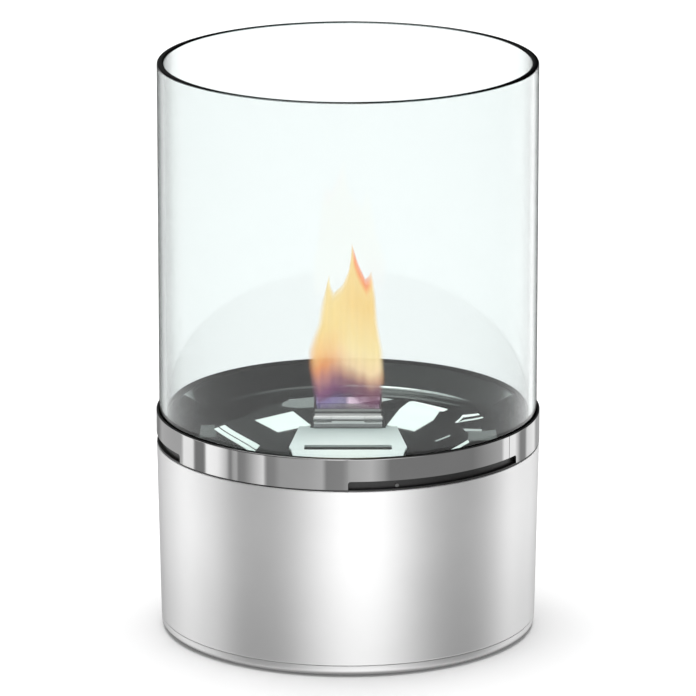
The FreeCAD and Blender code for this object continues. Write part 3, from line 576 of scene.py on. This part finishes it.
def makeDishBowl(glassInner):
    # a turned dish whose middle opens in a rectangle: the inmost ring of points follows that rectangle
    dish = dishForm
    low, high, _ = nodeSpan("fire_dish")
    sheet, hole = dish["sheet"], dish["inmost"]
    floor = low.z + sheet
    deck = floor + dish["rise"]
    rim = glassInner - dish["rimGap"]
    gutterOut = dish["seat"] - sheet
    gutterIn = gutterOut - dish["gutter"]
    corners = [(hole, deck, 0), (dish["deck"], deck, dish["ease"]), (gutterIn, floor, dish["crease"]),
               (gutterOut, floor, dish["corner"]), (rim - sheet, high.z, dish["lip"]),
               (rim, high.z, dish["lip"]), (dish["seat"], low.z, dish["corner"] + sheet),
               (gutterIn, low.z, 0), (dish["deck"], deck - sheet, 0), (hole, deck - sheet, 0)]
    turns = np.linspace(0, 2 * math.pi, dish["segments"], endpoint=False)
    profile = guardedProfile(roundedProfile(corners, dish["arcSteps"]))
    grid = latheGrid(profile, turns[None])
    mouth = np.minimum(dish["mouthSide"] / np.maximum(np.abs(np.cos(turns)), tiny),
                       dish["mouthFront"] / np.maximum(np.abs(np.sin(turns)), tiny))
    inmost = np.isclose(profile[:, 0], hole)
    grid[inmost, :, 0] = mouth * np.cos(turns)
    grid[inmost, :, 1] = mouth * np.sin(turns)
    mesh = meshFromGrid("dishBowl", grid[:, ::-1], closeAcross=True, closeAlong=True)
    bowl = addPiece("dishBowl", mesh, darkMirror, dish["smoothAngle"])
    standFor(bowl, "fire_dish", "top")


drumFoot = makeDrumShell()
makePanCover(drumFoot)
glassInner = makeGlassTube()
makeSealRing()
makeRingBand()
makeDishBowl(glassInner)
print("turned pieces made")


# Finishes of the CAD nodes that show as they are

nodeFinishes = {
    "base_mat": foamMat, "drum_lugs": plainSteel, "pan_screws": plainSteel, "carrier_ring": blackEnamel,
    "spring_clips": plainSteel, "clip_rivets": rivetSteel, "dish_studs": plainSteel, "dish_nuts": plainSteel,
    "fuel_can": plainSteel, "can_gasket": fibreSeal, "can_studs": plainSteel, "can_nuts": plainSteel,
    "wool_fill": ceramicWool, "wick_strip": ceramicWool, "wick_screen": plainSteel,
    "burner_collar": burnerSteel, "hinge_leaf": burnerSteel, "hinge_pin": plainSteel,
    "snuffer_flap": flapSteel,
}
for node, finish in nodeFinishes.items():
    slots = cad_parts[node].data.materials
    slots.clear()
    slots.append(finish)


# Flame: a soft pillow of fire that stands in the mouth, for the looks alone

def makeFlameMaterial(foot, height):
    # the map's u runs across the flame and its v up each thread; height sets the colour, both edges fade,
    # and the violet foot stands up as a wedge in the middle
    look = {"strength": 1.13, "wobble": 0.16, "wedge": 0.09, "wedgeRest": 0.4, "streakShares": (0.75, 1.25),
            "billow": {"scale": 70.0, "stretch": (1.6, 1.6, 0.45), "detail": 3},
            "streaks": {"scale": 420.0, "stretch": (1.0, 0.3, 0.05), "detail": 2}, "tip": (1.0, 0.26, 0.06)}
    material, tree, shader = newMaterial("flameGlow", Base_Color=(0, 0, 0, 1), Roughness=1.0,
                                         Specular_IOR_Level=0.0, Emission_Strength=look["strength"])
    coords = tree.nodes.new("ShaderNodeTexCoord").outputs
    thread = tree.nodes.new("ShaderNodeSeparateXYZ")
    tree.links.new(coords["UV"], thread.inputs[0])
    across, along = thread.outputs["X"], thread.outputs["Y"]

    def stretchedNoise(scale, stretch, detail):
        mapping = tree.nodes.new("ShaderNodeMapping")
        mapping.inputs["Scale"].default_value = stretch
        tree.links.new(coords["Object"], mapping.inputs["Vector"])
        return noiseNode(tree, mapping.outputs[0], scale, detail)

    billow = stretchedNoise(**look["billow"])
    streaks = stretchedNoise(**look["streaks"])
    climb = mathNode(tree, "DIVIDE", mathNode(tree, "SUBTRACT", objectAxes(tree)["Z"], foot), height)
    shift = mathNode(tree, "MULTIPLY", mathNode(tree, "SUBTRACT", billow, 0.5), look["wobble"])
    peak = rampNode(tree, across, [
        (0.05, grey(look["wedgeRest"])), (0.42, grey(1)), (0.62, grey(0.55)), (0.85, grey(0))])
    wedge = mathNode(tree, "MULTIPLY", mathNode(tree, "SUBTRACT", look["wedgeRest"], peak), look["wedge"])
    level = mathNode(tree, "ADD", mathNode(tree, "ADD", climb, shift), wedge)
    leftSide = rampNode(tree, level, [
        (0.0, (0.12, 0.1, 0.3)), (0.05, (0.2, 0.12, 0.34)), (0.08, (0.15, 0.045, 0.13)),
        (0.13, (0.27, 0.09, 0.19)), (0.16, (0.34, 0.14, 0.19)), (0.21, (0.54, 0.2, 0.17)),
        (0.28, (0.86, 0.33, 0.11)), (0.36, (0.97, 0.58, 0.21)), (0.5, (0.98, 0.72, 0.27)),
        (1.0, (1.0, 0.8, 0.38))])
    rightSide = rampNode(tree, level, [
        (0.0, (0.1, 0.07, 0.11)), (0.045, (0.16, 0.08, 0.15)), (0.08, (0.15, 0.045, 0.11)),
        (0.14, (0.19, 0.07, 0.11)), (0.17, (0.26, 0.11, 0.13)), (0.22, (0.66, 0.4, 0.26)),
        (0.28, (1.0, 0.76, 0.44)), (0.4, (0.98, 0.78, 0.36)), (0.65, (0.97, 0.66, 0.22)),
        (1.0, (1.0, 0.76, 0.34))])
    rightward = rampNode(tree, across, [(0.2, grey(0)), (0.6, grey(1))], True)
    body = mixColour(tree, rightward, leftSide, rightSide)
    high = rampNode(tree, along, [(0.88, grey(0)), (0.95, grey(1))])
    rightTip = rampNode(tree, across, [
        (0.56, grey(0)), (0.62, grey(1)), (0.85, grey(1)), (0.97, grey(0.2))])
    glow = mixColour(tree, mathNode(tree, "MULTIPLY", high, rightTip), body, look["tip"])
    tree.links.new(glow, shader.inputs["Emission Color"])
    sides = rampNode(tree, across, [
        (0.0, grey(0)), (0.14, grey(1)), (0.9, grey(1)), (1.0, grey(0))], True)
    ends = rampNode(tree, along, [
        (0.0, grey(0.4)), (0.05, grey(1)), (0.93, grey(1)), (1.0, grey(0.25))])
    depth = rampNode(tree, level, [
        (0.0, grey(0.2)), (0.06, grey(0.4)), (0.1, grey(0.76)), (0.34, grey(0.76)), (1.0, grey(0.74))], True)
    faded = mathNode(tree, "MULTIPLY", mathNode(tree, "MULTIPLY", sides, ends), depth)
    combed = mathNode(tree, "MULTIPLY", faded, mapRange(tree, streaks, levels=look["streakShares"]))
    tree.links.new(combed, shader.inputs["Alpha"])
    return material


def makeFlame():
    # threads rise side by side between a left and a right edge; each thread ends at the jagged top line, and
    # front and back bulge apart by a half ellipse across and close again at foot and tip
    flame = {
        "heights": np.array([0, 8, 16, 22, 27, 32, 42, 50, 62]) * mm,
        "left": np.array([-12.6, -13.8, -15.2, -15.2, -13.4, -11.2, -9.5, -8.6, -7.2]) * mm,
        "right": np.array([12.6, 13.2, 13.4, 13.2, 12.3, 11.6, 10.9, 9.4, 7]) * mm,
        "tipPlaces": np.array([-1, -0.9, -0.82, -0.7, -0.56, -0.25, -0.02, 0.08, 0.14, 0.35, 0.64, 0.8, 0.93,
                               1]),
        "tipHeights": np.array([38, 44, 50.8, 46.5, 44, 47, 52.5, 58.5, 62.6, 56, 49.2, 50.4, 52.4, 45]) * mm,
        "halfDepth": 7.5 * mm, "sway": 0.5 * mm, "waves": 2.5, "lift": 0.2 * mm, "footShare": 0.08,
        "threads": 90, "rows": 70, "smoothAngle": 80,
    }
    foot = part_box("wick_screen")[1].z + flame["lift"]
    u = np.linspace(-1, 1, flame["threads"])[None]
    v = np.linspace(0, 1, flame["rows"])[:, None]
    rise = v * np.interp(u, flame["tipPlaces"], flame["tipHeights"])
    left = np.interp(rise, flame["heights"], flame["left"])
    right = np.interp(rise, flame["heights"], flame["right"])
    sway = flame["sway"] * np.sin(rise / flame["heights"][-1] * math.pi * flame["waves"]) * v
    x = (left + right) / 2 + (right - left) / 2 * u + sway
    oval = np.sqrt(np.clip(1 - u ** 2, 0, 1))
    footRound = np.sqrt(np.clip(v / flame["footShare"], 0, 1))
    tipRound = np.sqrt(1 - v ** 3)
    bulge = flame["halfDepth"] * oval * footRound * tipRound
    front = np.stack([x, -bulge, foot + rise], axis=-1)
    back = np.stack([x, bulge, foot + rise], axis=-1)[:, ::-1]
    grid = np.concatenate([front, back[:, 1:-1]], axis=1)
    mesh = meshFromGrid("flameBody", grid, closeAcross=True)
    across = np.concatenate([u[0], u[0, ::-1][1:-1]]) / 2 + 0.5
    corners = np.empty(len(mesh.loops), np.int32)
    mesh.loops.foreach_get("vertex_index", corners)
    threadMap = np.stack([np.tile(across, flame["rows"]), np.repeat(v[:, 0], len(across))], axis=1)
    layer = mesh.uv_layers.new(name="threadMap")
    layer.data.foreach_set("uv", threadMap[corners].astype(np.float32).ravel())
    material = makeFlameMaterial(foot, flame["heights"][-1])
    piece = addPiece("flameBody", mesh, material, flame["smoothAngle"])
    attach(piece, "top")
    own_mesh(piece)


makeFlame()
print("flame made")


# Stage: floor, studio world, reflected cards, lamp and camera

photoView = {"place": (0, -2.2278, 0.7013), "aim": (0, 0, 0.1039), "lens": 327.3, "sensor": 36.0,
             "clipEnd": 50}
firstBounce, secondBounce = 0.5, 1.5  # a glossy depth above these is a reflection, and a second one


def hideFrom(piece, *rays):
    for ray in rays:
        setattr(piece, "visible_" + ray, False)


def makeFloor():
    # one flat square under the object
    floor = {"half": 6.0, "colour": grey(0.9), "roughness": 0.9, "specular": 0.1}
    side = np.array([-floor["half"], floor["half"]])
    x, y = np.meshgrid(side, side)
    material = newMaterial("paleFloor", Base_Color=(*floor["colour"], 1), Roughness=floor["roughness"],
                           Specular_IOR_Level=floor["specular"])[0]
    mesh = meshFromGrid("paleFloor", np.stack([x, y, np.zeros_like(x)], axis=-1))
    piece = addPiece("paleFloor", mesh, material)
    hideFrom(piece, "glossy")


def mirrorCorners(spots, back):
    # for each spot on the dish, follow the camera's line to the dish and on from its mirror to the
    # plane behind
    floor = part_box("fire_dish")[0].z + dishForm["sheet"]
    gutterIn = dishForm["seat"] - dishForm["sheet"] - dishForm["gutter"]
    slope = dishForm["rise"] / (gutterIn - dishForm["deck"])
    place = np.array(spots) * mm
    radius = np.linalg.norm(place, axis=1, keepdims=True)
    beyond = np.clip(radius - dishForm["deck"], 0, None)
    spot = np.concatenate([place, floor + dishForm["rise"] - slope * beyond], axis=1)
    normal = np.concatenate([np.where(beyond > 0, slope * place / radius, 0), np.ones_like(radius)], axis=1)
    normal /= np.linalg.norm(normal, axis=1, keepdims=True)
    line = spot - np.array(photoView["place"])
    line /= np.linalg.norm(line, axis=1, keepdims=True)
    bounced = line - 2 * np.sum(line * normal, axis=1, keepdims=True) * normal
    return spot + bounced * ((back - spot[:, 1:2]) / bounced[:, 1:2])


def makeCard(name, spots, back, level):
    # a lit card behind the burner that only mirrors show, so that it lies on the dish over the given spots
    light = (0.93, 1.0, 0.98, 1)
    points = mirrorCorners(spots, back * mm)
    facing = np.cross(points, np.roll(points, -1, axis=0)).sum(axis=0)
    points = points if facing[1] < 0 else points[::-1]
    mesh = bpy.data.meshes.new(name)
    mesh.from_pydata(points.tolist(), [], [list(range(len(points)))])
    material, tree, shader = newMaterial(name, Base_Color=(0, 0, 0, 1), Specular_IOR_Level=0.0,
                                         Emission_Color=light, Emission_Strength=level)
    behind = tree.nodes.new("ShaderNodeNewGeometry").outputs["Backfacing"]
    bounces = tree.nodes.new("ShaderNodeLightPath").outputs["Glossy Depth"]
    first = mathNode(tree, "LESS_THAN", bounces, secondBounce)
    shown = mathNode(tree, "MULTIPLY", first, mathNode(tree, "SUBTRACT", 1.0, behind))
    tree.links.new(shown, shader.inputs["Alpha"])
    piece = addPiece(name, mesh, material)
    hideFrom(piece, "camera", "diffuse", "transmission", "shadow")


def panelRamp(tree, turn, panels):
    # panels are (degrees, level); the turn from -180 to 180 degrees picks the level, up to the brightest, and
    # two ramps share the panels because one ramp can't hold them all
    brightest = 4.0
    share = mathNode(tree, "ADD", mathNode(tree, "DIVIDE", turn, 2 * math.pi), 0.5)
    middle = len(panels) // 2
    stops = [(angle / 360 + 0.5, grey(level / brightest)) for angle, level in panels]
    halves = [rampNode(tree, share, part) for part in (stops[:middle + 1], stops[middle:])]
    later = mathNode(tree, "GREATER_THAN", share, stops[middle][0])
    return mathNode(tree, "MULTIPLY", mixColour(tree, later, *halves), brightest)


def windowMask(tree, lift, low, high):
    # one where the lift lies between low and high degrees, and zero elsewhere
    away = awayFrom(tree, lift, math.radians((low + high) / 2))
    return mathNode(tree, "LESS_THAN", away, math.radians((high - low) / 2))


def makeWorld():
    # plain white for what looks straight out; reflections see a studio of light and grey panels; angles are
    # in degrees up from level, and other ends are parts of the direction's own axes
    look = {"diffuse": 0.6, "upper": 0.07, "zenith": 2.6, "zenithEnds": (0.5, 0.62), "floor": 1.15,
            "floorAngles": (-38, -46), "band": (-18.5, -12.5), "skyEnds": (0.0, 0.08), "secondShare": 0.2,
            "sideShare": 0.1, "sideEnds": (-0.02, 0.05)}
    glassPanels = [(-180, 0.1), (-160, 0.15), (-142, 0.95), (-120, 1.0), (0, 1.0), (110, 1.0), (128, 1.45),
                   (150, 1.6), (159, 0.5), (166, 0.15), (180, 0.1)]
    softPanels = [(-180, 0.12), (-160, 0.15), (-140, 0.75), (-120, 1.2), (-102, 1.15), (-86, 0.5),
                  (-70, 0.22), (-45, 0.18), (-33, 0.4), (-20, 1.05), (-8, 1.75), (22, 1.8), (34, 1.2),
                  (48, 0.5), (62, 0.32), (85, 0.32), (98, 0.55), (112, 1.05), (128, 1.1), (145, 0.65),
                  (165, 0.3), (180, 0.12)]
    sharpPanels = [(-180, 0.4), (-160, 0.3), (-150, 0.75), (-130, 0.85), (-119, 0.9), (-117, 2.0),
                   (-107, 2.0), (-105, 0.45), (-96, 0.45), (-94, 2.4), (-85, 2.2), (-78, 1.3), (-75.5, 0.5),
                   (-73.5, 0.5), (-73, 0.95), (-70, 0.95), (-69.5, 0.5), (-65, 0.55), (-61, 0.85), (-52, 1.8),
                   (-50, 0.55), (-45, 0.6), (-41, 0.85), (-24, 0.95), (-15, 1.1), (-13, 0.55), (-3, 0.6),
                   (1, 0.95), (14, 1.15), (21, 0.8), (25, 0.46), (80, 0.46), (92, 0.7), (106, 0.95),
                   (108, 2.0), (120, 2.0), (124, 1.2), (127, 0.5), (134, 0.5), (137, 1.5), (150, 1.5),
                   (156, 0.6), (180, 0.4)]
    world = bpy.data.worlds.new("studioWorld")
    bpy.context.scene.world = world
    world.use_nodes = True
    tree = world.node_tree
    split = tree.nodes.new("ShaderNodeSeparateXYZ")
    tree.links.new(tree.nodes.new("ShaderNodeTexCoord").outputs["Generated"], split.inputs[0])
    axes = split.outputs
    path = tree.nodes.new("ShaderNodeLightPath").outputs
    turn = mathNode(tree, "ARCTAN2", axes["X"], mathNode(tree, "MULTIPLY", axes["Y"], -1.0))
    lift = mathNode(tree, "ARCSINE", axes["Z"])
    inBand = windowMask(tree, lift, *look["band"])
    lower = mixValue(tree, inBand, panelRamp(tree, turn, softPanels), panelRamp(tree, turn, sharpPanels))
    floorEnds = [math.sin(math.radians(angle)) for angle in look["floorAngles"]]
    lower = mixValue(tree, mapRange(tree, axes["Z"], floorEnds), lower, look["floor"])
    # clear glass mirrors plainer panels, so that no stripes show on it
    lower = mixValue(tree, path["Is Singular Ray"], lower, panelRamp(tree, turn, glassPanels))
    # the light overhead is weaker on one side, and in the second of two reflections
    upper = rampNode(tree, mathNode(tree, "DIVIDE", lift, math.pi / 2), list(zip(
        look["zenithEnds"], (grey(look["upper"] / look["zenith"]), grey(1)))))
    side = mapRange(tree, axes["X"], look["sideEnds"], (1.0, look["sideShare"]))
    again = mathNode(tree, "GREATER_THAN", path["Glossy Depth"], secondBounce)
    share = mathNode(tree, "MULTIPLY", side, mapRange(tree, again, levels=(1.0, look["secondShare"])))
    upper = mathNode(tree, "MULTIPLY", mathNode(tree, "MULTIPLY", upper, look["zenith"]), share)
    studio = mixValue(tree, mapRange(tree, axes["Z"], look["skyEnds"]), lower, upper)
    seen = mathNode(tree, "MAXIMUM", path["Is Camera Ray"], path["Is Transmission Ray"])
    plain = mixValue(tree, seen, look["diffuse"], 1.0)
    mirrored = mathNode(tree, "GREATER_THAN", path["Glossy Depth"], firstBounce)
    background = tree.nodes["Background"].inputs
    background["Color"].default_value = (1, 1, 1, 1)
    tree.links.new(mixValue(tree, mirrored, plain, studio), background["Strength"])


def aimAt(thing, place, aim):
    thing.location = place
    direction = Vector(aim) - Vector(place)
    thing.rotation_euler = direction.to_track_quat("-Z", "Y").to_euler()
    bpy.context.scene.collection.objects.link(thing)


def makeLamp():
    # one broad soft lamp overhead
    look = {"place": (0, 0.3, 4.0), "aim": (0, 0.3, 0), "size": 2.6, "power": 160}
    lamp = bpy.data.lights.new("topLamp", "AREA")
    lamp.energy = look["power"]
    lamp.size = look["size"]
    thing = bpy.data.objects.new("topLamp", lamp)
    hideFrom(thing, "glossy", "transmission")
    aimAt(thing, look["place"], look["aim"])


def makeCamera():
    # the photograph's viewpoint: about 15 degrees down from 2.3 m, with a long lens
    data = bpy.data.cameras.new("photoCamera")
    data.lens = photoView["lens"]
    data.sensor_width = photoView["sensor"]
    data.clip_end = photoView["clipEnd"]
    camera = bpy.data.objects.new("photoCamera", data)
    aimAt(camera, photoView["place"], photoView["aim"])
    bpy.context.scene.camera = camera


makeFloor()
makeWorld()
# spots in mm on the dish, seen from above, then the card's distance behind the axis in mm and its brightness
cards = {
    "cardLeft": ([(-34.4, 4), (-20.4, 16.2), (-13.5, -3), (-25.6, -12.3)], 20, 1.9),
    "cardRight": ([(14.2, -3), (19.2, 19.6), (24.4, 31), (37.3, 23), (31.5, 4), (24.4, -11)], 33, 1.9),
    "wedgeLeft": ([(-22.1, 35.6), (-2.2, 34.3), (-2.2, 24.6), (-11.8, 21.8), (-18.8, 20.4),
                   (-24.9, 23.2)], 42, 0.5),
    "wedgeRight": ([(0.4, 37.1), (10.4, 36.1), (17, 32.6), (10.4, 28), (5.2, 24.6), (0.4, 24.2)], 42, 1.2),
    "blockLeft": ([(-54.5, 8.8), (-49.1, 5.9), (-48.1, -10.5), (-54.5, -7.7)], 12, 0.25),
    "blockRight": ([(44.1, -6.9), (54.4, 2.6), (54.6, -10.5), (43.6, -17.4)], 8, 0.3),
    "dashRight": ([(31.1, -23), (37.1, -14.3), (37.1, -15.9), (31.9, -23.6)], -8, 1.2),
    "barLeftOuter": ([(-49.2, 0), (-47.6, 1), (-33.4, -31.4), (-34.4, -34)], 6, 1.9),
    "barLeftInner": ([(-47.2, 1.5), (-45.2, 2.6), (-31.9, -27.4), (-33.2, -30.6)], 6, 1.9),
    "barRightFront": ([(34.1, -34.3), (43.4, -16.6), (43.9, -18.9), (36.1, -33.9)], -12, 1.9),
    "barRightTop": ([(42.5, 16.4), (48.5, 24.5), (49.3, 22.6), (43, 12.4)], 27, 1.9),
    "barRightSlant": ([(39.3, 1.6), (42.5, 16.4), (43.1, 14.8), (40.3, 2.1)], 19, 1.9),
    "barRightLow": ([(40.1, 2.0), (42.9, 8.4), (50, 19.5), (50.4, 17.8), (43.3, 6.5)], 22, 1.7),
    "barRightMiddle": ([(42, -4.4), (49, -0.4), (48.9, -3.3), (42.8, -7.2)], 3, 1.0),
}
for name, (spots, back, level) in cards.items():
    makeCard(name, spots, back, level)
makeLamp()
makeCamera()
bpy.context.scene.view_settings.view_transform = "Standard"
print("stage made")
